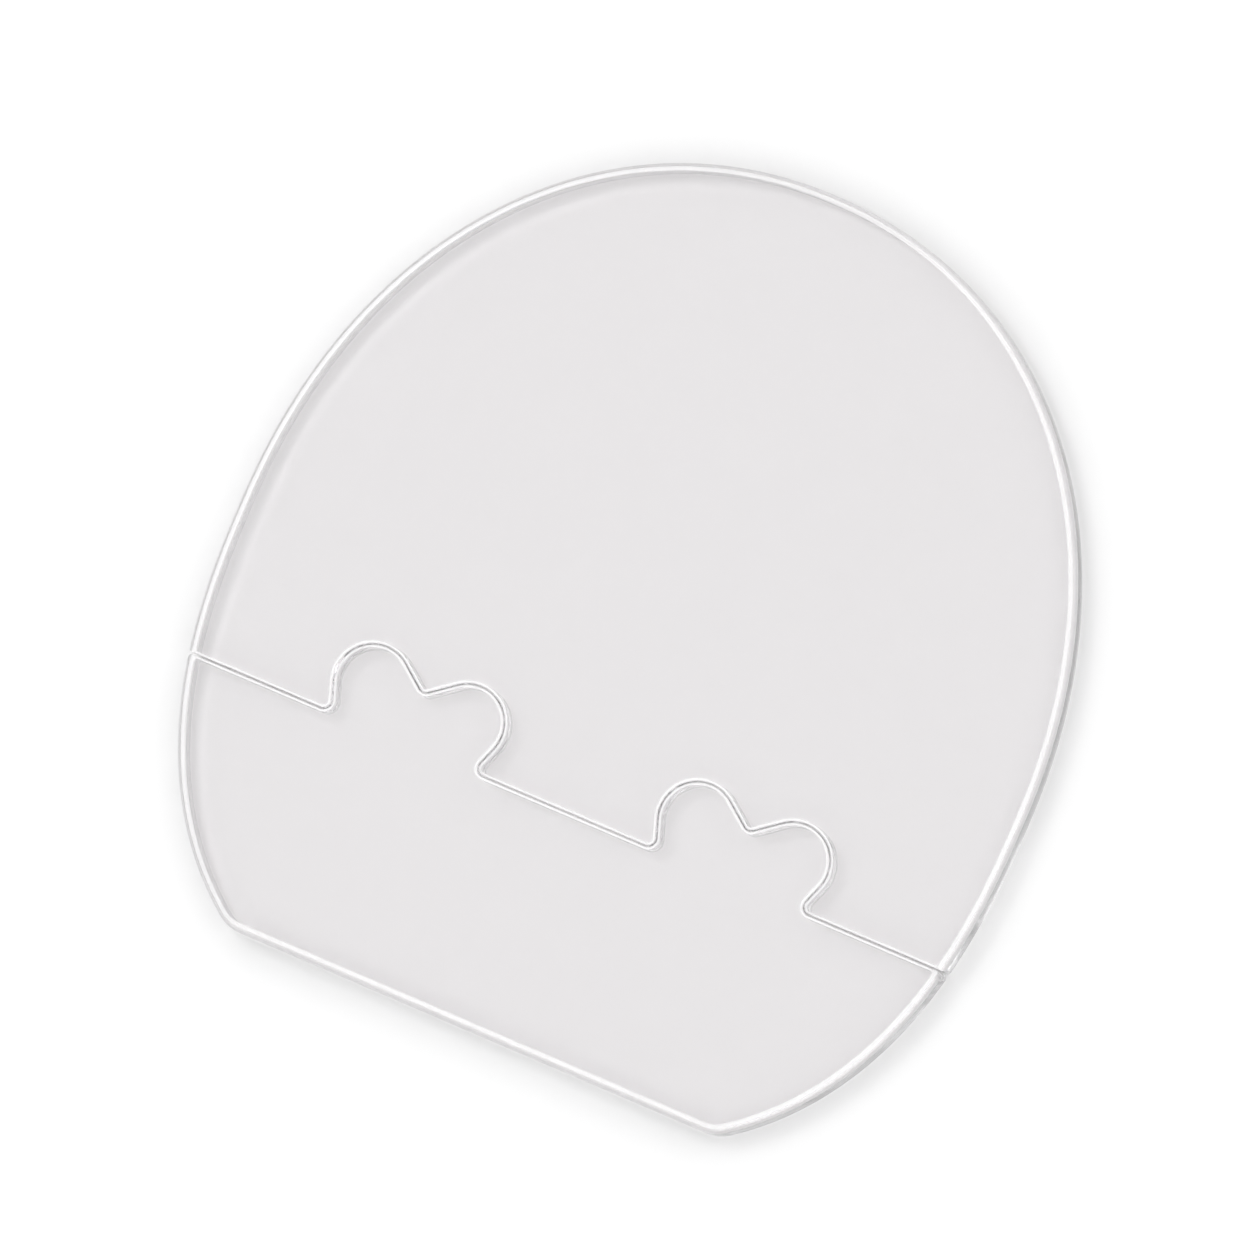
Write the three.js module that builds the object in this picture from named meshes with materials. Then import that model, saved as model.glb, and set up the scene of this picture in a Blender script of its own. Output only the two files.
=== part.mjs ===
/**
 * A clear acrylic curve template, cut as two panels that lock together like a jigsaw puzzle.
 *
 * The plate is an oval with a full round crown. Below its widest line the flanks draw in to a straight
 * base edge with softened corners. A seam crosses the plate above the base edge. Two double-lobed tabs
 * stand up from the lower panel and fill matching sockets in the upper panel. Each tab is wider than
 * its neck, so the panels can't be pulled apart in their own plane: one is lifted out of the other.
 *
 * Millimetres, +Z up. The plate lies on Z = 0, with its base edge along X and its crown towards +Y,
 * and the origin is under its middle. Outlines are drawn with Y = 0 on the base edge.
 */
import * as THREE from "three";

const { degToRad } = THREE.MathUtils;

// The plate.
const PLATE_WIDTH = 140; // across the widest line
const PLATE_HEIGHT = 146.6; // from the base edge to the top of the crown
const PLATE_THICKNESS = 6;
const WIDEST_LINE = 65.7; // its height above the base edge
const FLANK_OVERRUN = 10.3; // how far below the base edge the flanks' own oval would close
const CROWN_FULLNESS = 2.09; // exponent of the superellipse above the widest line; an ellipse has 2
const FLANK_FULLNESS = 2.51; // and of the one below it
const FOOT_RADIUS = 6.5; // the two corners of the base edge
const EDGE_ROUNDING = 0.5; // the polished round along every edge of both faces

// The seam between the panels, and the tabs that cross it.
const SEAM_HEIGHT = 38.4; // above the base edge
const SEAM_CLEARANCE = 0.3;
const SEAM_CORNER_RADIUS = 0.7; // where the seam runs out through the rim
const TAB_SPACING = 58.3; // centre to centre
const TAB_WIDTH = 29.6; // across both lobes
const TAB_HEIGHT = 13.2; // from the seam to the top of the lobes
const LOBE_RADIUS = 6.3;
const LOBE_SLOPE = degToRad(37); // fall of the two slopes between the lobes
const VALLEY_RADIUS = 1.3; // where those slopes meet
const UNDERCUT = degToRad(20.5); // lean of each flank of a tab, in towards its neck
const NECK_RADIUS = 1.4; // where a tab's flank runs into the seam

// How finely round stretches are divided.
const ARC_STEP = degToRad(9);
const RIM_STEP = degToRad(2.5);
const EDGE_SEGMENTS = 3;

const HALF_GAP = SEAM_CLEARANCE / 2;
const QUARTER_TURN = Math.PI / 2;

/** Evenly spaced values from `start` to `end`, both included, at most `step` apart. */
function spread(start, end, step) {
  const count = Math.ceil(Math.abs(end - start) / step);
  return Array.from({ length: count + 1 }, (_, index) => start + ((end - start) * index) / count);
}

/** Points along an arc. */
function arc(centre, radius, startAngle, endAngle) {
  return spread(startAngle, endAngle, ARC_STEP).map(
    (angle) => new THREE.Vector2(Math.cos(angle), Math.sin(angle)).multiplyScalar(radius).add(centre),
  );
}

/** The same points on the other side of the centre line, in the opposite order. */
function mirrored(points) {
  return points.map((point) => new THREE.Vector2(-point.x, point.y)).reverse();
}

/** Half-height and exponent of the superellipse that the rim follows at `turn`. */
function ovalAt(turn) {
  return turn < 0
    ? { rise: WIDEST_LINE + FLANK_OVERRUN, fullness: FLANK_FULLNESS }
    : { rise: PLATE_HEIGHT - WIDEST_LINE, fullness: CROWN_FULLNESS };
}

/** Point of the right-hand rim. `turn` is 0 on the widest line and a quarter turn at the crown. */
function rimPoint(turn) {
  const { rise, fullness } = ovalAt(turn);
  const across = Math.abs(Math.cos(turn)) ** (2 / fullness);
  const up = Math.sign(turn) * Math.abs(Math.sin(turn)) ** (2 / fullness);
  return new THREE.Vector2((PLATE_WIDTH / 2) * across, WIDEST_LINE + rise * up);
}

/** Unit vector that points out of the plate at `turn`. */
function rimNormal(turn) {
  const { rise, fullness } = ovalAt(turn);
  const power = 2 - 2 / fullness;
  const across = Math.abs(Math.cos(turn)) ** power;
  const up = Math.sign(turn) * Math.abs(Math.sin(turn)) ** power;
  return new THREE.Vector2(across / (PLATE_WIDTH / 2), up / rise).normalize();
}

/** Centre of the circle that touches the rim from inside at `turn`. */
function cornerCentre(turn, radius) {
  return rimPoint(turn).addScaledVector(rimNormal(turn), -radius);
}

/** The turn at which that circle's centre lies at `height`, found by halving. */
function cornerTurn(height, radius) {
  let low = -QUARTER_TURN;
  let high = QUARTER_TURN;
  for (let halving = 0; halving < 50; halving += 1) {
    const middle = (low + high) / 2;
    if (cornerCentre(middle, radius).y < height) {
      low = middle;
    } else {
      high = middle;
    }
  }
  return low;
}

/** Rounded corner that leads from a level edge below it up into the rim. */
function cornerOntoRim(edgeHeight, radius) {
  const turn = cornerTurn(edgeHeight + radius, radius);
  const points = arc(cornerCentre(turn, radius), radius, -QUARTER_TURN, rimNormal(turn).angle() - 2 * Math.PI);
  return { turn, points };
}

/** Rounded corner that leads from the rim onto a level edge above it. */
function cornerOffRim(edgeHeight, radius) {
  const turn = cornerTurn(edgeHeight - radius, radius);
  const points = arc(cornerCentre(turn, radius), radius, rimNormal(turn).angle() - 2 * Math.PI, QUARTER_TURN);
  return { turn, points };
}

/** Points of the rim between two turns, without its ends. */
function rimBetween(startTurn, endTurn) {
  return spread(startTurn, endTurn, RIM_STEP).slice(1, -1).map(rimPoint);
}

/**
 * Right half of a tab, from the valley floor over the lobe and down its neck to the seam.
 * `growth` moves the whole outline outwards, or inwards where it is negative.
 */
function halfTab(growth) {
  const lobe = new THREE.Vector2(TAB_WIDTH / 2 - LOBE_RADIUS, TAB_HEIGHT - LOBE_RADIUS);
  const slopesMeet = lobe.y - lobe.x * Math.tan(LOBE_SLOPE) + LOBE_RADIUS / Math.cos(LOBE_SLOPE);
  const valley = new THREE.Vector2(0, slopesMeet + VALLEY_RADIUS / Math.cos(LOBE_SLOPE));
  const neckReach = LOBE_RADIUS + NECK_RADIUS + (NECK_RADIUS - lobe.y) * Math.sin(UNDERCUT);
  const neck = new THREE.Vector2(lobe.x + neckReach / Math.cos(UNDERCUT), NECK_RADIUS);
  return [
    ...arc(valley, VALLEY_RADIUS - growth, -QUARTER_TURN, LOBE_SLOPE - QUARTER_TURN),
    ...arc(lobe, LOBE_RADIUS + growth, QUARTER_TURN + LOBE_SLOPE, -UNDERCUT),
    ...arc(neck, NECK_RADIUS - growth, Math.PI - UNDERCUT, 3 * QUARTER_TURN),
  ];
}

/** The seam from left to right through both tabs, moved by `growth` from its middle line. */
function seam(growth) {
  const rightHalf = halfTab(growth);
  const tab = [...mirrored(rightHalf).slice(0, -1), ...rightHalf];
  return [-TAB_SPACING / 2, TAB_SPACING / 2].flatMap((centre) =>
    tab.map((point) => point.clone().add(new THREE.Vector2(centre, SEAM_HEIGHT))),
  );
}

/** Outline of the panel above the seam, anticlockwise from its right-hand seam corner. */
function upperOutline() {
  const corner = cornerOntoRim(SEAM_HEIGHT + HALF_GAP, SEAM_CORNER_RADIUS);
  const rightSide = [
    ...corner.points,
    ...rimBetween(corner.turn, 0),
    rimPoint(0),
    ...rimBetween(0, QUARTER_TURN),
  ];
  const crown = new THREE.Vector2(0, PLATE_HEIGHT);
  return [...rightSide, crown, ...mirrored(rightSide), ...seam(HALF_GAP)];
}

/** Outline of the panel below the seam, anticlockwise from the right-hand end of the base edge. */
function lowerOutline() {
  const foot = cornerOntoRim(0, FOOT_RADIUS);
  const corner = cornerOffRim(SEAM_HEIGHT - HALF_GAP, SEAM_CORNER_RADIUS);
  const rightSide = [...foot.points, ...rimBetween(foot.turn, corner.turn), ...corner.points];
  return [...rightSide, ...seam(-HALF_GAP).reverse(), ...mirrored(rightSide)];
}

/** Polished clear acrylic, drawn in the soft grey it shows over white paper. */
function clearAcrylic() {
  return new THREE.MeshStandardMaterial({
    color: 0xebe9ea,
    roughness: 0.06,
    metalness: 0,
    transparent: true,
    opacity: 0.35,
  });
}

/** One panel of the plate, lying on Z = 0. */
function panel(name, outline) {
  const geometry = new THREE.ExtrudeGeometry(new THREE.Shape(outline), {
    depth: PLATE_THICKNESS - 2 * EDGE_ROUNDING,
    bevelThickness: EDGE_ROUNDING,
    bevelSize: EDGE_ROUNDING,
    bevelOffset: -EDGE_ROUNDING,
    bevelSegments: EDGE_SEGMENTS,
  });
  const mesh = new THREE.Mesh(geometry, clearAcrylic());
  mesh.name = name;
  mesh.position.set(0, -PLATE_HEIGHT / 2, EDGE_ROUNDING);
  return mesh;
}

const template = new THREE.Group();
template.add(panel("upper_panel", upperOutline()), panel("lower_panel", lowerOutline()));

export default template;
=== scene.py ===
"""Looks of a clear acrylic curve template: two panels that lock together with lobed jigsaw tabs.

Metres, +Z up, in the frame of the CAD model: the plate lies on Z = 0 with its base edge along X and its
crown towards +Y, and the origin is under its middle. Outlines are drawn with Y = 0 on the base edge.
"""

from __future__ import annotations

import logging
import math
from dataclasses import dataclass, field
from enum import Enum
from itertools import accumulate
from typing import Any, Optional, Union

import bpy
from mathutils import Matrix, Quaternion, Vector


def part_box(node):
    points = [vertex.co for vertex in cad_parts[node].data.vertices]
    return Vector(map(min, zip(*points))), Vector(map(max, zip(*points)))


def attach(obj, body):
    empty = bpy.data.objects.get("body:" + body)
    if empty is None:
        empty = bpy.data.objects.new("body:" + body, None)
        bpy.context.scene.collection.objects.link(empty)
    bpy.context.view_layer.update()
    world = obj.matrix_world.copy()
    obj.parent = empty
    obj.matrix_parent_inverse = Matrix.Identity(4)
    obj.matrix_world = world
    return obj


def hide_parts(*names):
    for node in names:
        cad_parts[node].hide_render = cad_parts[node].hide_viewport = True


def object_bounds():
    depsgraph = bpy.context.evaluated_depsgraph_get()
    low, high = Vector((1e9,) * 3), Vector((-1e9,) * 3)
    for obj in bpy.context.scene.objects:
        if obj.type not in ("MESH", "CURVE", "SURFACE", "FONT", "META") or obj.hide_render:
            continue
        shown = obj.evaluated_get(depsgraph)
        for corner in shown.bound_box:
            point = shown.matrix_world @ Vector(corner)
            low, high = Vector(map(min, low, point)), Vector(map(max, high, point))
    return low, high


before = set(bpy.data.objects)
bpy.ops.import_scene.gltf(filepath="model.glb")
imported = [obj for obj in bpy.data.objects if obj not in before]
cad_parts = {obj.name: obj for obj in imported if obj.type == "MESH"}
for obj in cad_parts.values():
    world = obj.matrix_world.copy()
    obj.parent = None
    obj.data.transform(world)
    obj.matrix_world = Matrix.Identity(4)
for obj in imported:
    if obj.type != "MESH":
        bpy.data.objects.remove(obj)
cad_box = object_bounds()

log = logging.getLogger("curve_template")

MM = 0.001
QUARTER_TURN = math.pi / 2
UP = Vector((0, 0, 1))

Socket = bpy.types.NodeSocket
Feed = Union[Socket, float, int, bool, str, tuple, Vector, None]


# ----------------------------------------------------------------------------------------------------
# The plate's outline
# ----------------------------------------------------------------------------------------------------


class Panel(Enum):
    """The two panels, by the names of their CAD nodes."""

    UPPER = "upper_panel"
    LOWER = "lower_panel"


@dataclass(frozen=True)
class Station:
    """One point of a panel's outline.

    Attributes:
        place: Where it is, from the middle of the base edge.
        inset: From there to the border of the flat face, in the plane of the plate.
        drop: How far below the flat face the wall begins.
    """

    place: Vector
    inset: Vector
    drop: float

    @classmethod
    def rounded(cls, place: Vector, outward: Vector, radius: float) -> Station:
        """A point where the edge is a plain quarter round.

        Args:
            place: Where it is.
            outward: Unit vector that points out of the panel.
            radius: Of the round.

        Returns:
            The station.
        """
        return cls(place, outward * -radius, radius)

    def mirrored(self) -> Station:
        """The same point on the other side of the centre line."""
        return Station(flipped(self.place), flipped(self.inset), self.drop)

    def facing_back(self) -> Station:
        """The same point for the panel on the other side of it."""
        return Station(self.place, -self.inset, self.drop)

    def moved(self, across: float, up: float) -> Station:
        """The same point moved in the plane of the plate."""
        return Station(self.place + Vector((across, up)), self.inset, self.drop)


def flipped(vector: Vector) -> Vector:
    """A flat vector mirrored in the centre line."""
    return Vector((-vector.x, vector.y))


def mirror_image(stations: list[Station]) -> list[Station]:
    """The stations on the other side of the centre line, in the opposite order."""
    return [station.mirrored() for station in reversed(stations)]


def spread(start: float, end: float, count: int) -> list[float]:
    """Evenly spaced values from start to end, both included.

    Args:
        start: The first value.
        end: The last value.
        count: How many steps lie between them.

    Returns:
        One value more than there are steps.
    """
    return [start + (end - start) * index / count for index in range(count + 1)]


def bearing(angle: float) -> Vector:
    """Flat unit vector at an angle from +X."""
    return Vector((math.cos(angle), math.sin(angle)))


def smooth_step(share: float) -> float:
    """Eased rise from 0 to 1 as share goes from 0 to 1."""
    held = min(max(share, 0.0), 1.0)
    return held * held * (3 - 2 * held)


@dataclass(frozen=True)
class Arc:
    """A round stretch of the outline.

    Attributes:
        centre: Middle of its circle.
        radius: Radius of its circle.
        start: Angle of its first point.
        end: Angle of its last point.
        hollow: True where the panel lies outside the circle.
    """

    centre: Vector
    radius: float
    start: float
    end: float
    hollow: bool = False

    MOST_TURN = math.radians(6)
    MOST_LENGTH = 0.4 * MM

    def steps(self) -> int:
        """How many steps make the arc look round."""
        sweep = abs(self.end - self.start)
        return math.ceil(max(sweep / self.MOST_TURN, sweep * self.radius / self.MOST_LENGTH))

    def places(self, count: int) -> list[Vector]:
        """Points along the arc at the ends of that many even steps."""
        return [self.centre + bearing(angle) * self.radius for angle in spread(self.start, self.end, count)]

    def stations(self, rounding: float) -> list[Station]:
        """Points along the arc, both ends included.

        Args:
            rounding: Radius of the polished round along it.

        Returns:
            Stations close enough together to look round.
        """
        side = -1 if self.hollow else 1
        angles = spread(self.start, self.end, self.steps())
        outward = [bearing(angle) * side for angle in angles]
        return [
            Station.rounded(place, way, rounding) for place, way in zip(self.places(self.steps()), outward)
        ]


@dataclass(frozen=True)
class Oval:
    """The rim's line: two half superellipses that meet on the widest line.

    A turn of 0 is the right-hand end of the widest line, and a quarter turn is the crown.

    Attributes:
        width: Length of the widest line.
        widest_line: Its height above the base edge.
        crown_rise: From the widest line up to the crown.
        flank_rise: From the widest line down to where the flanks would close.
        crown_fullness: Exponent above the widest line.
        flank_fullness: Exponent below it.
    """

    width: float
    widest_line: float
    crown_rise: float
    flank_rise: float
    crown_fullness: float
    flank_fullness: float

    MOST_TURN = math.radians(0.5)
    HALVINGS = 50

    def half(self, turn: float) -> tuple[float, float]:
        """Rise and exponent of the half that a turn lies on."""
        return (self.flank_rise, self.flank_fullness) if turn < 0 else (self.crown_rise, self.crown_fullness)

    def place(self, turn: float) -> Vector:
        """Point of the rim.

        Args:
            turn: Where on it, in radians.

        Returns:
            The point, from the middle of the base edge.
        """
        rise, fullness = self.half(turn)
        across = abs(math.cos(turn)) ** (2 / fullness)
        up = math.copysign(abs(math.sin(turn)) ** (2 / fullness), turn)
        return Vector((self.width / 2 * across, self.widest_line + rise * up))

    def outward(self, turn: float) -> Vector:
        """The way out of the plate.

        Args:
            turn: Where on the rim, in radians.

        Returns:
            A unit vector.
        """
        rise, fullness = self.half(turn)
        power = 2 - 2 / fullness
        across = abs(math.cos(turn)) ** power / (self.width / 2)
        up = math.copysign(abs(math.sin(turn)) ** power, turn) / rise
        return Vector((across, up)).normalized()

    def corner_centre(self, turn: float, radius: float) -> Vector:
        """Centre of the circle that touches the rim from inside at a turn."""
        return self.place(turn) - self.outward(turn) * radius

    def corner_turn(self, height: float, radius: float) -> float:
        """The turn at which a corner's centre lies at a height, found by halving.

        Args:
            height: Of the corner's centre above the base edge.
            radius: Of the corner.

        Returns:
            The turn, in radians.
        """
        low, high = -QUARTER_TURN, QUARTER_TURN
        for _ in range(self.HALVINGS):
            middle = (low + high) / 2
            if self.corner_centre(middle, radius).y < height:
                low = middle
            else:
                high = middle
        return low

    def corner_onto(self, edge: float, radius: float, inset: float = 0.0) -> tuple[float, Arc]:
        """Rounded corner from a level edge below it up into the rim, or into a line inside the rim.

        Args:
            edge: Height of the level edge.
            radius: Of the corner.
            inset: How far inside the rim that line runs.

        Returns:
            The turn where the rim takes over, and the corner.
        """
        turn = self.corner_turn(edge + radius, radius + inset)
        normal = self.outward(turn)
        centre = self.corner_centre(turn, radius + inset)
        return turn, Arc(centre, radius, -QUARTER_TURN, math.atan2(normal.y, normal.x))

    def corner_off(self, edge: float, radius: float, inset: float = 0.0) -> tuple[float, Arc]:
        """Rounded corner from the rim, or from a line inside it, onto a level edge above it.

        Args:
            edge: Height of the level edge.
            radius: Of the corner.
            inset: How far inside the rim that line runs.

        Returns:
            The turn where the rim ends, and the corner.
        """
        turn = self.corner_turn(edge - radius, radius + inset)
        normal = self.outward(turn)
        centre = self.corner_centre(turn, radius + inset)
        return turn, Arc(centre, radius, math.atan2(normal.y, normal.x), QUARTER_TURN)

    def turns(self, start: float, end: float) -> list[float]:
        """Turns between two turns, without the ends."""
        return spread(start, end, math.ceil(abs(end - start) / self.MOST_TURN))[1:-1]


@dataclass(frozen=True)
class Tab:
    """A double-lobed tab, wider across its lobes than at its neck.

    Attributes:
        width: Across both lobes.
        height: From the seam to the top of the lobes.
        lobe_radius: Of the two lobes.
        lobe_slope: Fall of the two slopes between the lobes.
        valley_radius: Where those slopes meet.
        undercut: Lean of each flank, in towards the neck.
        neck_radius: Where a flank runs into the seam.
    """

    width: float = 29.6 * MM
    height: float = 13.2 * MM
    lobe_radius: float = 6.3 * MM
    lobe_slope: float = math.radians(37)
    valley_radius: float = 1.3 * MM
    undercut: float = math.radians(20.5)
    neck_radius: float = 1.4 * MM

    def right_half(self, growth: float, rounding: float) -> list[Station]:
        """From the valley floor over the right-hand lobe and down its neck to the seam.

        Args:
            growth: How far the outline is moved out of the tab.
            rounding: Radius of the polished round along it.

        Returns:
            Stations that face out of the tab.
        """
        lobe = Vector((self.width / 2 - self.lobe_radius, self.height - self.lobe_radius))
        slope_cosine = math.cos(self.lobe_slope)
        slopes_meet = lobe.y - lobe.x * math.tan(self.lobe_slope) + self.lobe_radius / slope_cosine
        valley = Vector((0, slopes_meet + self.valley_radius / slope_cosine))
        valley_end = self.lobe_slope - QUARTER_TURN
        reach = self.lobe_radius + self.neck_radius + (self.neck_radius - lobe.y) * math.sin(self.undercut)
        neck = Vector((lobe.x + reach / math.cos(self.undercut), self.neck_radius))
        arcs = (
            Arc(valley, self.valley_radius - growth, -QUARTER_TURN, valley_end, hollow=True),
            Arc(lobe, self.lobe_radius + growth, QUARTER_TURN + self.lobe_slope, -self.undercut),
            Arc(neck, self.neck_radius - growth, math.pi - self.undercut, 3 * QUARTER_TURN, hollow=True),
        )
        return [station for arc in arcs for station in arc.stations(rounding)]

    def whole(self, growth: float, rounding: float) -> list[Station]:
        """The tab from left to right, facing out of it."""
        right = self.right_half(growth, rounding)
        return mirror_image(right)[:-1] + right


@dataclass(frozen=True)
class Seam:
    """The seam between the panels.

    Attributes:
        height: Of its middle line above the base edge.
        clearance: Between the panels.
        corner_radius: Where it runs out through the rim.
        tab_spacing: Between the two tabs' centres.
        rounding: Radius of the polished round along both faces of it.
        tab: The shape of each tab.
    """

    height: float
    clearance: float = 0.3 * MM
    corner_radius: float = 0.7 * MM
    tab_spacing: float = 58.3 * MM
    rounding: float = 0.4 * MM
    tab: Tab = field(default_factory=Tab)

    def line(self, growth: float) -> list[Station]:
        """The seam from left to right through both tabs, facing up out of the lower panel.

        Args:
            growth: How far it is moved up from its middle line.

        Returns:
            Stations from the left-hand tab's neck to the right-hand one's.
        """
        tab = self.tab.whole(growth, self.rounding)
        places = (-self.tab_spacing / 2, self.tab_spacing / 2)
        return [station.moved(place, self.height) for place in places for station in tab]


@dataclass(frozen=True)
class TemplateOutline:
    """The whole plate's outline, cut along its seam.

    Attributes:
        oval: The rim's line.
        seam: The seam across it.
        foot_radius: Of the two corners of the base edge.
        rim_rounding: Radius of the polished round along the rim.
        face_corner_radius: Of the flat faces' corners where the seam meets the rim.
    """

    oval: Oval
    seam: Seam
    foot_radius: float = 6.5 * MM
    rim_rounding: float = 1.4 * MM
    face_corner_radius: float = 0.5 * MM

    WIDEST_LINE = 65.7 * MM
    FLANK_OVERRUN = 10.3 * MM
    CROWN_FULLNESS = 2.09
    FLANK_FULLNESS = 2.51
    SEAM_HEIGHT = 38.4 * MM

    @classmethod
    def inside(cls, box: tuple[Vector, Vector]) -> TemplateOutline:
        """The outline that fills a box.

        Args:
            box: Lowest and highest corner of the plate.

        Returns:
            The outline, as wide and as tall as the box.
        """
        span = box[1] - box[0]
        crown_rise = span.y - cls.WIDEST_LINE
        flank_rise = cls.WIDEST_LINE + cls.FLANK_OVERRUN
        oval = Oval(span.x, cls.WIDEST_LINE, crown_rise, flank_rise, cls.CROWN_FULLNESS, cls.FLANK_FULLNESS)
        return cls(oval, Seam(cls.SEAM_HEIGHT))

    def rim(self, start: float, end: float) -> list[Station]:
        """Stations of the right-hand rim between two turns, without its ends."""
        return [self.rim_station(turn) for turn in self.oval.turns(start, end)]

    def rim_station(self, turn: float) -> Station:
        """One station of the right-hand rim."""
        return Station.rounded(self.oval.place(turn), self.oval.outward(turn), self.rim_rounding)

    def seam_corner(self, outer: Arc, inner: Arc, start: float, end: float) -> list[Station]:
        """The corner of a panel where the seam runs out through the rim.

        Args:
            outer: The corner of the panel's outline.
            inner: The corner of its flat faces.
            start: The drop at the corner's first station.
            end: The drop at its last station.

        Returns:
            Stations whose edge goes over from one round to the other.
        """
        count = outer.steps()
        drops = [start + (end - start) * smooth_step(share) for share in spread(0, 1, count)]
        places = zip(outer.places(count), inner.places(count), drops)
        return [Station(place, border - place, drop) for place, border, drop in places]

    def upper(self) -> list[Station]:
        """The upper panel's outline.

        Returns:
            Its stations, anticlockwise from the right-hand seam corner.
        """
        seam, rim = self.seam, self.rim_rounding
        edge = seam.height + seam.clearance / 2
        turn, outer = self.oval.corner_onto(edge, seam.corner_radius)
        _, inner = self.oval.corner_onto(edge + seam.rounding, self.face_corner_radius, rim)
        right = self.seam_corner(outer, inner, seam.rounding, rim)
        right += self.rim(turn, 0) + [self.rim_station(0)] + self.rim(0, QUARTER_TURN)
        crown = self.rim_station(QUARTER_TURN)
        tabs = [station.facing_back() for station in seam.line(seam.clearance / 2)]
        return right + [crown] + mirror_image(right) + tabs

    def lower(self) -> list[Station]:
        """The lower panel's outline.

        Returns:
            Its stations, anticlockwise from the right-hand end of the base edge.
        """
        seam, rim = self.seam, self.rim_rounding
        edge = seam.height - seam.clearance / 2
        foot_turn, foot = self.oval.corner_onto(0, self.foot_radius)
        turn, outer = self.oval.corner_off(edge, seam.corner_radius)
        _, inner = self.oval.corner_off(edge - seam.rounding, self.face_corner_radius, rim)
        corner = self.seam_corner(outer, inner, rim, seam.rounding)
        right = foot.stations(rim) + self.rim(foot_turn, turn) + corner
        return right + seam.line(-seam.clearance / 2)[::-1] + mirror_image(right)

    def of(self, panel: Panel) -> list[Station]:
        """The outline of one panel."""
        return self.upper() if panel is Panel.UPPER else self.lower()


# ----------------------------------------------------------------------------------------------------
# Node trees
# ----------------------------------------------------------------------------------------------------


class Wiring:
    """Adds nodes to one tree and wires them up."""

    def __init__(self, tree: bpy.types.NodeTree) -> None:
        """Starts on a tree."""
        self.tree = tree

    def node(self, kind: str, feeds: Optional[dict[Any, Feed]] = None, **settings: Any) -> bpy.types.Node:
        """Adds one node.

        Args:
            kind: Blender's name for its type.
            feeds: A value or another node's output for each input, by name or place.
            **settings: The node's own settings.

        Returns:
            The node.
        """
        made = self.tree.nodes.new(kind)
        for name, value in settings.items():
            setattr(made, name, value)
        for place, value in (feeds or {}).items():
            self.feed(made.inputs[place], value)
        return made

    def feed(self, socket: Socket, value: Feed) -> None:
        """Gives a socket what it needs.

        Args:
            socket: The socket.
            value: An output to wire to it, or its own value, or None to leave it as it is.
        """
        if isinstance(value, Socket):
            self.tree.links.new(value, socket)
        elif value is not None:
            socket.default_value = value

    def math(self, operation: str, *terms: Feed) -> Socket:
        """A number worked out from one to three others."""
        return self.node("ShaderNodeMath", dict(enumerate(terms)), operation=operation).outputs[0]

    def vector(self, operation: str, *terms: Feed) -> Socket:
        """A vector worked out from two others."""
        return self.node("ShaderNodeVectorMath", dict(enumerate(terms)), operation=operation).outputs[0]

    def scaled(self, vector: Feed, factor: Feed) -> Socket:
        """A vector times a number."""
        return self.node("ShaderNodeVectorMath", {0: vector, "Scale": factor}, operation="SCALE").outputs[0]

    def upright(self, height: Feed) -> Socket:
        """The vector of that length along +Z."""
        return self.node("ShaderNodeCombineXYZ", {"Z": height}).outputs[0]

    def ranged(self, value: Feed, low: float, high: float, to_low: Feed, to_high: Feed) -> Socket:
        """A number eased from one range to another.

        Args:
            value: The number.
            low: Where the result leaves to_low.
            high: Where the result reaches to_high.
            to_low: The result at low and below.
            to_high: The result at high and above.

        Returns:
            The eased number.
        """
        feeds = {"Value": value, "From Min": low, "From Max": high, "To Min": to_low, "To Max": to_high}
        return self.node("ShaderNodeMapRange", feeds, interpolation_type="SMOOTHSTEP").outputs[0]


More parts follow.
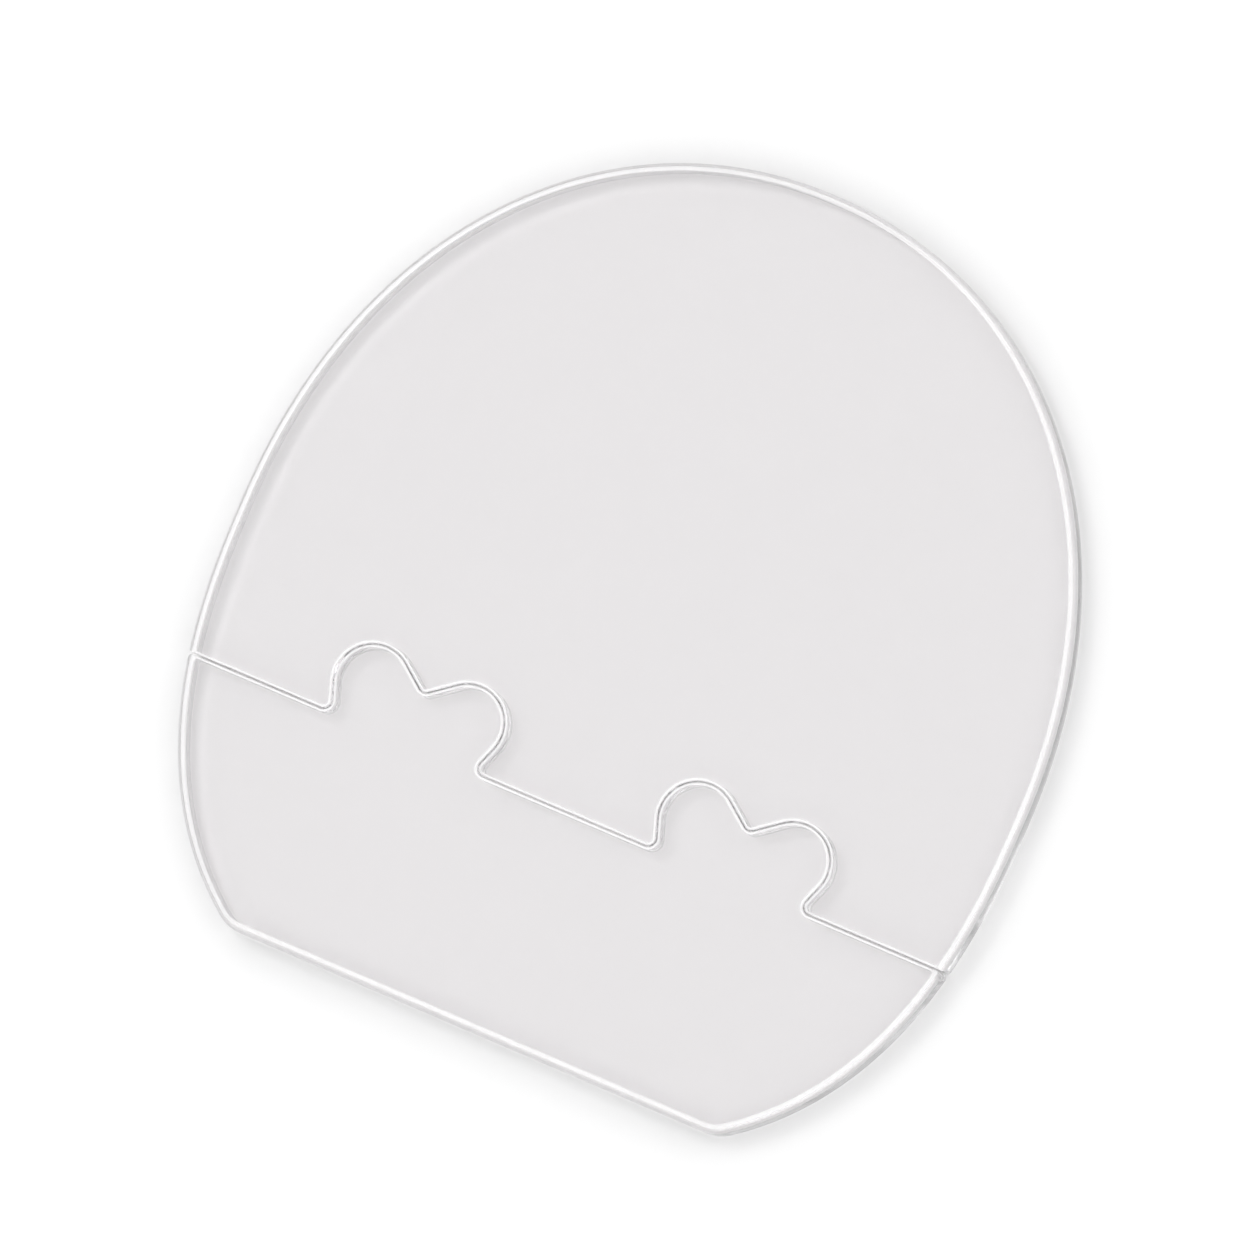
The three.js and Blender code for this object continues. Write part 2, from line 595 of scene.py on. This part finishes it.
class PlateTree:
    """Geometry Nodes tree that turns a flat outline into a plate with rounded edges.

    A grid is bent round the outline: each of its columns stands on one station, and its rows climb the
    lower round, the wall and the upper round. Two flat faces close it. The border beside each face, where
    the buffing wheel broke the edge, has a finish of its own.
    """

    OUTLINE = "Outline"
    THICKNESS = "Thickness"
    STEPS = "Steps of a Round"
    BORDER_DEPTH = "Depth of the Border"
    FACE = "Face Finish"
    EDGE = "Edge Finish"
    BORDER = "Border Finish"
    SOCKETS = {
        OUTLINE: "NodeSocketGeometry",
        THICKNESS: "NodeSocketFloat",
        STEPS: "NodeSocketInt",
        BORDER_DEPTH: "NodeSocketFloat",
        FACE: "NodeSocketMaterial",
        EDGE: "NodeSocketMaterial",
        BORDER: "NodeSocketMaterial",
    }
    INSET = "inset"
    DROP = "drop"
    ALONG = "along"
    EDGE_MAP = "edge_map"
    FLAT = 0.9995
    MERGE_DISTANCE = 1e-6
    HALF_STEP = 0.5  # keeps a comparison of whole numbers clear of rounding

    def __init__(self) -> None:
        """Builds the tree."""
        self.tree = bpy.data.node_groups.new("plate_from_outline", "GeometryNodeTree")
        for name, kind in self.SOCKETS.items():
            self.tree.interface.new_socket(name, in_out="INPUT", socket_type=kind)
        self.tree.interface.new_socket("Plate", in_out="OUTPUT", socket_type="NodeSocketGeometry")
        self.wiring = Wiring(self.tree)
        self.given = self.wiring.node("NodeGroupInput").outputs
        parts = self.wiring.node("GeometryNodeJoinGeometry")
        for part in (self.wall(), *self.faces()):
            self.wiring.feed(parts.inputs[0], part)
        out = self.wiring.node("NodeGroupOutput")
        self.wiring.feed(out.inputs[0], self.dressed(parts.outputs[0]))

    def identifier(self, name: str) -> str:
        """The identifier by which a modifier knows a named input."""
        return next(
            item.identifier
            for item in self.tree.interface.items_tree
            if item.item_type == "SOCKET" and item.in_out == "INPUT" and item.name == name
        )

    def attribute(self, name: str, kind: str) -> Socket:
        """Reads a named attribute."""
        return self.wiring.node("GeometryNodeInputNamedAttribute", {"Name": name}, data_type=kind).outputs[0]

    def sampled(self, value: Socket, index: Socket, kind: str) -> Socket:
        """Reads a value of the outline at the station of that number."""
        feeds = {"Geometry": self.given[self.OUTLINE], "Value": value, "Index": index}
        return self.wiring.node("GeometryNodeSampleIndex", feeds, data_type=kind, domain="POINT").outputs[0]

    def wall(self) -> Socket:
        """The band of the lower round, the wall and the upper round.

        Returns:
            Its mesh, with a map of metres along and across the edge.
        """
        w = self.wiring
        count = w.node("GeometryNodeAttributeDomainSize", {0: self.given[self.OUTLINE]}, component="MESH")
        columns = count.outputs["Point Count"]
        rows = w.math("MULTIPLY_ADD", self.given[self.STEPS], 2, 2)
        grid = w.node("GeometryNodeMeshGrid", {"Vertices X": w.math("ADD", columns, 1), "Vertices Y": rows})
        number = w.node("GeometryNodeInputIndex").outputs[0]
        column = w.math("FLOOR", w.math("DIVIDE", w.math("ADD", number, self.HALF_STEP), rows))
        row = w.math("SUBTRACT", number, w.math("MULTIPLY", column, rows))
        station = w.math("MODULO", column, columns)
        place = self.sampled(w.node("GeometryNodeInputPosition").outputs[0], station, "FLOAT_VECTOR")
        inset = self.sampled(self.attribute(self.INSET, "FLOAT_VECTOR"), station, "FLOAT_VECTOR")
        drop = self.sampled(self.attribute(self.DROP, "FLOAT"), station, "FLOAT")
        share, height = self.profile(row, drop)
        level = w.vector("ADD", place, w.scaled(inset, share))
        position = w.vector("ADD", level, w.upright(height))
        bent = w.node("GeometryNodeSetPosition", {"Geometry": grid.outputs["Mesh"], "Position": position})
        along = self.sampled(self.attribute(self.ALONG, "FLOAT"), station, "FLOAT")
        edge_map = w.node("ShaderNodeCombineXYZ", {"X": along, "Y": height})
        return w.node(
            "GeometryNodeStoreNamedAttribute",
            {"Geometry": bent.outputs[0], "Name": self.EDGE_MAP, "Value": edge_map.outputs[0]},
            data_type="FLOAT2",
            domain="POINT",
        ).outputs[0]

    def profile(self, row: Socket, drop: Socket) -> tuple[Socket, Socket]:
        """How far a row lies inside the outline, and how high.

        Args:
            row: The row's number, from 0 on the underside.
            drop: Height of each round.

        Returns:
            The share of the inset, and the height.
        """
        w = self.wiring
        steps = self.given[self.STEPS]
        lower = self.quarter(w.math("DIVIDE", row, steps))
        past_wall = w.math("SUBTRACT", w.math("SUBTRACT", row, steps), 1)
        upper = self.quarter(w.math("DIVIDE", past_wall, steps))
        share = w.math("SUBTRACT", w.math("SUBTRACT", 2, w.math("SINE", lower)), w.math("COSINE", upper))
        wall = w.math("MULTIPLY_ADD", drop, -2, self.given[self.THICKNESS])
        past_lower = w.math("GREATER_THAN", row, w.math("ADD", steps, self.HALF_STEP))
        climbed = w.math("MULTIPLY", past_lower, wall)
        rise = w.math("ADD", w.math("SUBTRACT", 1, w.math("COSINE", lower)), w.math("SINE", upper))
        return share, w.math("MULTIPLY_ADD", rise, drop, climbed)

    def quarter(self, share: Socket) -> Socket:
        """A share of a quarter turn, held between none and all of it."""
        held = self.wiring.node("ShaderNodeClamp", {"Value": share}).outputs[0]
        return self.wiring.math("MULTIPLY", held, QUARTER_TURN)

    def faces(self) -> tuple[Socket, Socket]:
        """The two flat faces, each as far inside the outline as the round reaches.

        Returns:
            The underside, facing down, and the upper face.
        """
        w = self.wiring
        inset = self.attribute(self.INSET, "FLOAT_VECTOR")
        ring = w.node("GeometryNodeSetPosition", {"Geometry": self.given[self.OUTLINE], "Offset": inset})
        curve = w.node("GeometryNodeMeshToCurve", {"Mesh": ring.outputs[0]})
        filled = w.node("GeometryNodeFillCurve", {0: curve.outputs[0]}).outputs[0]
        underside = w.node("GeometryNodeFlipFaces", {0: filled}).outputs[0]
        lift = {"Geometry": filled, "Translation": w.upright(self.given[self.THICKNESS])}
        return underside, w.node("GeometryNodeTransform", lift).outputs[0]

    def dressed(self, parts: Socket) -> Socket:
        """Welds the parts, shades them and gives them their finishes.

        Args:
            parts: The wall and the two faces.

        Returns:
            The plate.
        """
        w = self.wiring
        welded = w.node("GeometryNodeMergeByDistance", {"Geometry": parts, "Distance": self.MERGE_DISTANCE})
        normal = w.node("ShaderNodeSeparateXYZ", {0: w.node("GeometryNodeInputNormal").outputs[0]})
        flat = w.math("GREATER_THAN", w.math("ABSOLUTE", normal.outputs["Z"]), self.FLAT)
        curved = w.math("SUBTRACT", 1, flat)
        shaded = w.node("GeometryNodeSetShadeSmooth", {"Geometry": welded.outputs[0], "Shade Smooth": curved})
        whole = w.node("GeometryNodeRealizeInstances", {0: shaded.outputs[0]})
        edged = self.finish(whole.outputs[0], self.EDGE)
        bordered = self.finish(edged, self.BORDER, self.beside_a_face())
        return self.finish(bordered, self.FACE, flat)

    def beside_a_face(self) -> Socket:
        """Picks out the border.

        Returns:
            True within the border's depth of either face.
        """
        w = self.wiring
        position = w.node("GeometryNodeInputPosition").outputs[0]
        height = w.node("ShaderNodeSeparateXYZ", {0: position}).outputs["Z"]
        to_upper = w.math("SUBTRACT", self.given[self.THICKNESS], height)
        return w.math("LESS_THAN", w.math("MINIMUM", height, to_upper), self.given[self.BORDER_DEPTH])

    def finish(self, geometry: Socket, finish: str, where: Feed = None) -> Socket:
        """Gives a finish to the faces of a mesh.

        Args:
            geometry: The mesh.
            finish: Name of the finish's input.
            where: Which faces, or all of them.

        Returns:
            The mesh with that finish.
        """
        feeds = {"Geometry": geometry, "Selection": where, "Material": self.given[finish]}
        return self.wiring.node("GeometryNodeSetMaterial", feeds).outputs[0]


# ----------------------------------------------------------------------------------------------------
# Finishes
# ----------------------------------------------------------------------------------------------------


class WearGroup:
    """Shader group of fine handling scratches, which lie in patches and cross at several angles."""

    SOCKETS = {
        "Coordinates": "NodeSocketVector",
        "Scratches per Metre": "NodeSocketFloat",
        "Clean Roughness": "NodeSocketFloat",
        "Worn Roughness": "NodeSocketFloat",
    }
    ANGLES = (math.radians(17), math.radians(74), math.radians(131))
    STRETCH = 0.04
    PATCHES_PER_METRE = 45
    PATCH_DETAIL = 3
    PATCH_EDGE = 0.45  # noise level where a patch starts to show
    PATCH_HEART = 0.7  # and where its scratches are at their deepest
    NOISE_MIDDLE = 0.5
    LINE = 0.012

    def __init__(self) -> None:
        """Builds the group."""
        self.tree = bpy.data.node_groups.new("handling_wear", "ShaderNodeTree")
        for name, kind in self.SOCKETS.items():
            self.tree.interface.new_socket(name, in_out="INPUT", socket_type=kind)
        for name in ("Roughness", "Scratches"):
            self.tree.interface.new_socket(name, in_out="OUTPUT", socket_type="NodeSocketFloat")
        w = Wiring(self.tree)
        given = w.node("NodeGroupInput").outputs
        feeds = {"Vector": given["Coordinates"], "Scale": self.PATCHES_PER_METRE, "Detail": self.PATCH_DETAIL}
        patches = w.node("ShaderNodeTexNoise", feeds)
        patch = w.ranged(patches.outputs["Fac"], self.PATCH_EDGE, self.PATCH_HEART, 0, 1)
        lines: Feed = 0.0
        for angle in self.ANGLES:
            lines = w.math("MAXIMUM", lines, self.scratches(w, given, angle))
        scratches = w.math("MULTIPLY", lines, patch)
        roughness = w.ranged(scratches, 0, 1, given["Clean Roughness"], given["Worn Roughness"])
        out = w.node("NodeGroupOutput")
        w.feed(out.inputs["Roughness"], roughness)
        w.feed(out.inputs["Scratches"], scratches)

    def scratches(self, w: Wiring, given: Any, angle: float) -> Socket:
        """Long thin lines at one angle: the level lines of a stretched noise.

        Args:
            w: Wiring of the group.
            given: The group's inputs.
            angle: Of the lines.

        Returns:
            1 on a line and 0 beside it.
        """
        turned = w.node(
            "ShaderNodeMapping",
            {"Vector": given["Coordinates"], "Rotation": (0, 0, angle), "Scale": (self.STRETCH, 1, 1)},
            vector_type="TEXTURE",
        )
        noise = w.node(
            "ShaderNodeTexNoise",
            {"Vector": turned.outputs[0], "Scale": given["Scratches per Metre"], "Detail": 0},
        )
        level = w.math("ABSOLUTE", w.math("SUBTRACT", noise.outputs["Fac"], self.NOISE_MIDDLE))
        return w.ranged(level, 0, self.LINE, 1, 0)


@dataclass(frozen=True)
class ClearAcrylic:
    """Clear cast acrylic, with what all its finishes share.

    Attributes:
        name: Of the material.
        tint: What one pass through the plate lets through.
        roughness: Of a clean spot.
        worn_roughness: Of a scratch.
        scratches_per_metre: How close the handling scratches lie.
        scratch_depth: Their depth.
        clarity: Share of light that isn't scattered by haze.
        ior: Index of refraction.
    """

    name: str
    tint: tuple[float, float, float] = (0.868, 0.858, 0.863)
    roughness: float = 0.02
    worn_roughness: float = 0.06
    scratches_per_metre: float = 900
    scratch_depth: float = 0.2e-6
    clarity: float = 1.0
    ior: float = 1.49

    def made(self, wear: WearGroup) -> bpy.types.Material:
        """Builds the material.

        Args:
            wear: The shared scratches.

        Returns:
            The material.
        """
        material = bpy.data.materials.new(self.name)
        material.use_nodes = True
        tree = material.node_tree
        w = Wiring(tree)
        shader = tree.nodes["Principled BSDF"]
        shader.inputs["Base Color"].default_value = (*self.tint, 1)
        w.feed(shader.inputs["Base Color"], self.shading(w))
        shader.inputs["Transmission Weight"].default_value = self.clarity
        shader.inputs["IOR"].default_value = self.ior
        coordinates = w.node("ShaderNodeTexCoord").outputs["Object"]
        worn = w.node("ShaderNodeGroup", node_tree=wear.tree)
        w.feed(worn.inputs["Coordinates"], coordinates)
        w.feed(worn.inputs["Scratches per Metre"], self.scratches_per_metre)
        w.feed(worn.inputs["Clean Roughness"], self.roughness)
        w.feed(worn.inputs["Worn Roughness"], self.worn_roughness)
        dents = w.math("MULTIPLY", worn.outputs["Scratches"], -self.scratch_depth)
        height = w.math("ADD", dents, self.relief(w, coordinates))
        bump = w.node("ShaderNodeBump", {"Height": height, "Distance": 1.0})
        w.feed(shader.inputs["Roughness"], worn.outputs["Roughness"])
        w.feed(shader.inputs["Normal"], bump.outputs[0])
        return material

    def shading(self, w: Wiring) -> Feed:
        """The tint where painted shade and highlight change it over the surface, or nothing where it is the
        same all over.
        """
        return None

    def relief(self, w: Wiring, coordinates: Socket) -> Feed:
        """Height in metres of the finish's own relief."""
        raise NotImplementedError


@dataclass(frozen=True)
class CastFace(ClearAcrylic):
    """The glossy face of a cast sheet, which is very slightly wavy.

    Attributes:
        waves_per_metre: How close the waves lie.
        wave_height: Their height.
    """

    name: str = "clear_cast_face"
    waves_per_metre: float = 38
    wave_height: float = 4e-6

    def relief(self, w: Wiring, coordinates: Socket) -> Feed:
        """Height in metres of the sheet's waves."""
        feeds = {"Vector": coordinates, "Scale": self.waves_per_metre, "Detail": 1}
        return w.math("MULTIPLY", w.node("ShaderNodeTexNoise", feeds).outputs["Fac"], self.wave_height)


@dataclass(frozen=True)
class CutEdge(ClearAcrylic):
    """A cut edge after polishing, with faint lines left along it.

    Attributes:
        lines_per_metre: How close the polishing lines lie, across the edge.
        line_stretch: How often the pattern changes along the edge, as a share of how often across it.
        line_height: Their height.
    """

    lines_per_metre: float = 2400
    line_stretch: float = 0.004
    line_height: float = 0.2e-6

    def relief(self, w: Wiring, coordinates: Socket) -> Feed:
        """The polishing lines.

        Args:
            w: Wiring of the material.
            coordinates: Not used, because the lines follow the edge's own map.

        Returns:
            Their height in metres.
        """
        scale = (self.line_stretch, 1, 1)
        stretched = w.node("ShaderNodeMapping", {"Vector": self.edge_map(w), "Scale": scale})
        feeds = {"Vector": stretched.outputs[0], "Scale": self.lines_per_metre, "Detail": 2}
        return w.math("MULTIPLY", w.node("ShaderNodeTexNoise", feeds).outputs["Fac"], self.line_height)

    def edge_map(self, w: Wiring) -> Socket:
        """Metres along the edge and up it."""
        return w.node("ShaderNodeAttribute", attribute_name=PlateTree.EDGE_MAP).outputs["Vector"]


@dataclass(frozen=True)
class PolishedEdgeWithPaintedShade(CutEdge):
    """The wall and its shoulders, with painted light: the wall's tint is darkened as painted shade, and the
    shoulders' tint is lightened as a painted highlight.

    Attributes:
        shoulder_painted_highlight_tint: What one pass through a shoulder lets through, lightened as a painted
            highlight.
        middle: Height of the wall's middle.
        wall_painted_shade_reach: From there to where the wall's painted shade begins to give way to the
            shoulders' painted highlight.
        shoulder_painted_highlight_reach: From there to where the shoulders' painted highlight is full.
    """

    name: str = "polished_edge_painted_shade"
    # The wall's tint is darkened as painted shade.
    tint: tuple[float, float, float] = (0.61, 0.602, 0.61)
    roughness: float = 0.08
    worn_roughness: float = 0.16
    # The shoulders' tint is lightened as a painted highlight.
    shoulder_painted_highlight_tint: tuple[float, float, float] = (0.94, 0.933, 0.938)
    middle: float = 3.0 * MM
    wall_painted_shade_reach: float = 2.2 * MM
    shoulder_painted_highlight_reach: float = 2.8 * MM

    def shading(self, w: Wiring) -> Feed:
        """The tint, which goes over from the wall's painted shade to the shoulders' painted highlight.

        Args:
            w: Wiring of the material.

        Returns:
            The tint at each height of the edge: painted shade on the wall, a painted highlight on the
                shoulders.
        """
        # Painted light by height: a darker wall as painted shade, lighter shoulders as a painted highlight.
        height = w.node("ShaderNodeSeparateXYZ", {0: self.edge_map(w)}).outputs["Y"]
        reach = w.math("ABSOLUTE", w.math("SUBTRACT", height, self.middle))
        share = w.ranged(reach, self.wall_painted_shade_reach, self.shoulder_painted_highlight_reach, 0, 1)
        difference = Vector(self.shoulder_painted_highlight_tint) - Vector(self.tint)
        return w.vector("ADD", self.tint, w.scaled(difference, share))


@dataclass(frozen=True)
class BuffedBorder(CutEdge):
    """The narrow border where the buffing wheel broke the edge, a little hazy."""

    name: str = "buffed_border"
    tint: tuple[float, float, float] = (0.92, 0.913, 0.919)
    roughness: float = 0.2
    worn_roughness: float = 0.3
    clarity: float = 0.56


# ----------------------------------------------------------------------------------------------------
# The panels
# ----------------------------------------------------------------------------------------------------


def store(mesh: bpy.types.Mesh, name: str, kind: str, numbers: list[float]) -> None:
    """Gives a mesh an attribute.

    Args:
        mesh: The mesh.
        name: Of the attribute.
        kind: Its type, a number or a vector.
        numbers: One for each point, or three for each point of a vector.
    """
    attribute = mesh.attributes.new(name, kind, "POINT")
    attribute.data.foreach_set("vector" if kind == "FLOAT_VECTOR" else "value", numbers)


@dataclass
class AcrylicPanel:
    """One panel of the plate.

    Attributes:
        panel: Which of the two it is.
        outline: The whole plate's outline.
        tree: The tree that makes a plate from an outline.
        finishes: Finish for each of the tree's finish inputs.
        round_steps: Steps of each quarter round.
        border_depth: How far below each face its border reaches.
    """

    panel: Panel
    outline: TemplateOutline
    tree: PlateTree
    finishes: dict[str, bpy.types.Material]
    round_steps: int = 12
    border_depth: float = 0.2 * MM

    SLOT = "clear_acrylic"
    BODIES = {Panel.UPPER: "upper", Panel.LOWER: "lower"}

    def build(self) -> bpy.types.Object:
        """Builds the panel and ties it to the frame.

        Returns:
            The panel, in its place.
        """
        low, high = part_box(self.panel.value)
        ring = self.ring(Vector((0, cad_box[0].y)))
        body = self.grown(ring, high.z - low.z)
        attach(body, self.BODIES[self.panel])
        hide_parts(self.panel.value)
        return body

    def ring(self, base: Vector) -> bpy.types.Mesh:
        """The flat outline as a closed ring of edges.

        Args:
            base: The middle of the base edge.

        Returns:
            A mesh whose points know their inset, their drop and their place along the outline.
        """
        stations = self.outline.of(self.panel)
        count = len(stations)
        places = [(station.place + base).to_3d() for station in stations]
        mesh = bpy.data.meshes.new(f"{self.panel.value}_outline")
        mesh.from_pydata(places, [(index, (index + 1) % count) for index in range(count)], [])
        steps = [(places[index] - places[index - 1]).length if index else 0.0 for index in range(count)]
        insets = [number for station in stations for number in station.inset.to_3d()]
        store(mesh, PlateTree.INSET, "FLOAT_VECTOR", insets)
        store(mesh, PlateTree.DROP, "FLOAT", [station.drop for station in stations])
        store(mesh, PlateTree.ALONG, "FLOAT", list(accumulate(steps)))
        return mesh

    def grown(self, ring: bpy.types.Mesh, thickness: float) -> bpy.types.Object:
        """Grows the flat outline into a solid panel.

        Args:
            ring: The outline.
            thickness: Of the plate.

        Returns:
            The panel as a plain mesh object.
        """
        source = bpy.data.objects.new(f"{self.panel.value}_source", ring)
        bpy.context.scene.collection.objects.link(source)
        modifier = source.modifiers.new("plate", "NODES")
        modifier.node_group = self.tree.tree
        sizes = {
            PlateTree.THICKNESS: thickness,
            PlateTree.STEPS: self.round_steps,
            PlateTree.BORDER_DEPTH: self.border_depth,
        }
        for name, value in (sizes | self.finishes).items():
            modifier[self.tree.identifier(name)] = value
        evaluated = source.evaluated_get(bpy.context.evaluated_depsgraph_get())
        mesh = bpy.data.meshes.new_from_object(evaluated)
        mesh.name = f"clear_{self.panel.value}"
        mesh.materials.pop(index=0)
        bpy.data.objects.remove(source)
        bpy.data.meshes.remove(ring)
        body = bpy.data.objects.new(f"clear_{self.panel.value}", mesh)
        bpy.context.scene.collection.objects.link(body)
        return body


@dataclass
class CurveTemplate:
    """The whole template: two panels that share one outline and three finishes.

    Attributes:
        face: Finish of the faces.
        edge: Finish of the walls, with painted shade on the wall and a painted highlight on its shoulders.
        border: Finish of the borders between them.
    """

    face: ClearAcrylic = CastFace()
    edge: ClearAcrylic = PolishedEdgeWithPaintedShade()
    border: ClearAcrylic = BuffedBorder()

    def build(self) -> list[bpy.types.Object]:
        """Builds both panels.

        Returns:
            The panels, upper first.
        """
        wear = WearGroup()
        finishes = {
            PlateTree.FACE: self.face.made(wear),
            PlateTree.EDGE: self.edge.made(wear),
            PlateTree.BORDER: self.border.made(wear),
        }
        outline, tree = TemplateOutline.inside(cad_box), PlateTree()
        return [AcrylicPanel(panel, outline, tree, finishes).build() for panel in Panel]


# ----------------------------------------------------------------------------------------------------
# The studio
# ----------------------------------------------------------------------------------------------------


def sky_direction(azimuth: float, elevation: float) -> Vector:
    """Unit vector towards a place round the object.

    Args:
        azimuth: 0 is towards -Y and a quarter turn towards +X, in radians.
        elevation: Above the horizon, in radians.

    Returns:
        The direction from the object to that place.
    """
    level = math.cos(elevation)
    return Vector((math.sin(azimuth) * level, -math.cos(azimuth) * level, math.sin(elevation)))


@dataclass(frozen=True)
class PaleFloor:
    """A matt white table that runs out to the horizon.

    Attributes:
        half_size: From its middle to its edge.
        drop: Air gap under the plate.
        shade: Share of light that it throws back.
    """

    half_size: float = 5.0
    drop: float = 0.00002
    shade: float = 0.8

    def build(self) -> bpy.types.Object:
        """Builds the floor.

        Returns:
            The floor.
        """
        corners = [(-1, -1), (1, -1), (1, 1), (-1, 1)]
        points = [(x * self.half_size, y * self.half_size, -self.drop) for x, y in corners]
        mesh = bpy.data.meshes.new("floor")
        mesh.from_pydata(points, [], [(0, 1, 2, 3)])
        mesh.materials.append(self.paper())
        floor = bpy.data.objects.new("floor", mesh)
        bpy.context.scene.collection.objects.link(floor)
        return floor

    def paper(self) -> bpy.types.Material:
        """Matt white paper.

        Returns:
            The material.
        """
        material = bpy.data.materials.new("floor_paper")
        material.use_nodes = True
        shader = material.node_tree.nodes["Principled BSDF"]
        shader.inputs["Base Color"].default_value = (self.shade, self.shade, self.shade, 1)
        shader.inputs["Roughness"].default_value = 1
        shader.inputs["Specular IOR Level"].default_value = 0
        return material


@dataclass(frozen=True)
class SoftLight:
    """A round softbox that points at the middle of the object.

    Attributes:
        azimuth: Of its place round the object.
        elevation: Of its place above the horizon.
        distance: From the object.
        width: Of its round front.
        power: In watts.
    """

    azimuth: float = math.radians(-112)
    elevation: float = math.radians(61)
    distance: float = 2.5
    width: float = 0.8
    power: float = 6.5

    def build(self) -> bpy.types.Object:
        """Builds the softbox.

        Returns:
            The light.
        """
        data = bpy.data.lights.new("softbox", "AREA")
        data.shape = "DISK"
        data.size = self.width
        data.energy = self.power
        light = bpy.data.objects.new("softbox", data)
        towards = sky_direction(self.azimuth, self.elevation)
        light.location = towards * self.distance
        light.rotation_euler = towards.to_track_quat("Z", "Y").to_euler()
        bpy.context.scene.collection.objects.link(light)
        return light


@dataclass(frozen=True)
class StudioWalls:
    """The even white room round the table, as a world that is dimmer overhead.

    Attributes:
        horizon: Brightness at the horizon.
        zenith: Brightness overhead.
    """

    horizon: float = 1.3
    zenith: float = 1.24

    def build(self) -> bpy.types.World:
        """Builds the world and makes it the scene's.

        Returns:
            The world.
        """
        world = bpy.data.worlds.new("studio")
        world.use_nodes = True
        w = Wiring(world.node_tree)
        direction = w.node("ShaderNodeTexCoord").outputs["Generated"]
        height = w.node("ShaderNodeSeparateXYZ", {0: direction}).outputs["Z"]
        strength = w.ranged(height, 0, 1, self.horizon, self.zenith)
        background = world.node_tree.nodes["Background"]
        background.inputs["Color"].default_value = (1, 1, 1, 1)
        w.feed(background.inputs["Strength"], strength)
        bpy.context.scene.world = world
        return world


@dataclass(frozen=True)
class StudioCamera:
    """A long lens that looks down on the plate.

    Attributes:
        target: Point at the middle of the picture.
        azimuth: Of the camera's place round the object.
        elevation: Of its place above the horizon.
        roll: Turn about its own axis.
        distance: From the target.
        focal_length: Of the lens, in millimetres.
    """

    target: Vector = Vector((-0.002478, -0.003745, 0.006))
    azimuth: float = math.radians(79.98)
    elevation: float = math.radians(76)
    roll: float = math.radians(-56.76)
    distance: float = 3.2093
    focal_length: float = 574.16

    CLIP_START = 0.1
    CLIP_END = 50.0

    def build(self) -> bpy.types.Object:
        """Builds the camera and makes it the scene's.

        Returns:
            The camera.
        """
        data = bpy.data.cameras.new("camera")
        data.lens = self.focal_length
        data.clip_start = self.CLIP_START
        data.clip_end = self.CLIP_END
        camera = bpy.data.objects.new("camera", data)
        back = sky_direction(self.azimuth, self.elevation)
        camera.location = self.target + back * self.distance
        camera.rotation_mode = "QUATERNION"
        camera.rotation_quaternion = (-back).to_track_quat("-Z", "Y") @ Quaternion(UP, self.roll)
        bpy.context.scene.collection.objects.link(camera)
        bpy.context.scene.camera = camera
        return camera


MOST_BOUNCES = 32


def let_light_through() -> None:
    """Lets light bounce often enough inside clear plastic, and shows white as white."""
    scene = bpy.context.scene
    scene.view_settings.view_transform = "Standard"
    scene.cycles.max_bounces = MOST_BOUNCES
    scene.cycles.transmission_bounces = MOST_BOUNCES
    scene.cycles.glossy_bounces = MOST_BOUNCES
    scene.cycles.blur_glossy = 0


def main() -> None:
    """Builds the studio and the template, and reports each piece."""
    logging.basicConfig(level=logging.INFO, format="%(message)s")
    StudioCamera().build()
    PaleFloor().build()
    SoftLight().build()
    StudioWalls().build()
    let_light_through()
    for piece in CurveTemplate().build():
        log.info("%s: %d faces", piece.name, len(piece.data.polygons))


if __name__ == "__main__":
    main()
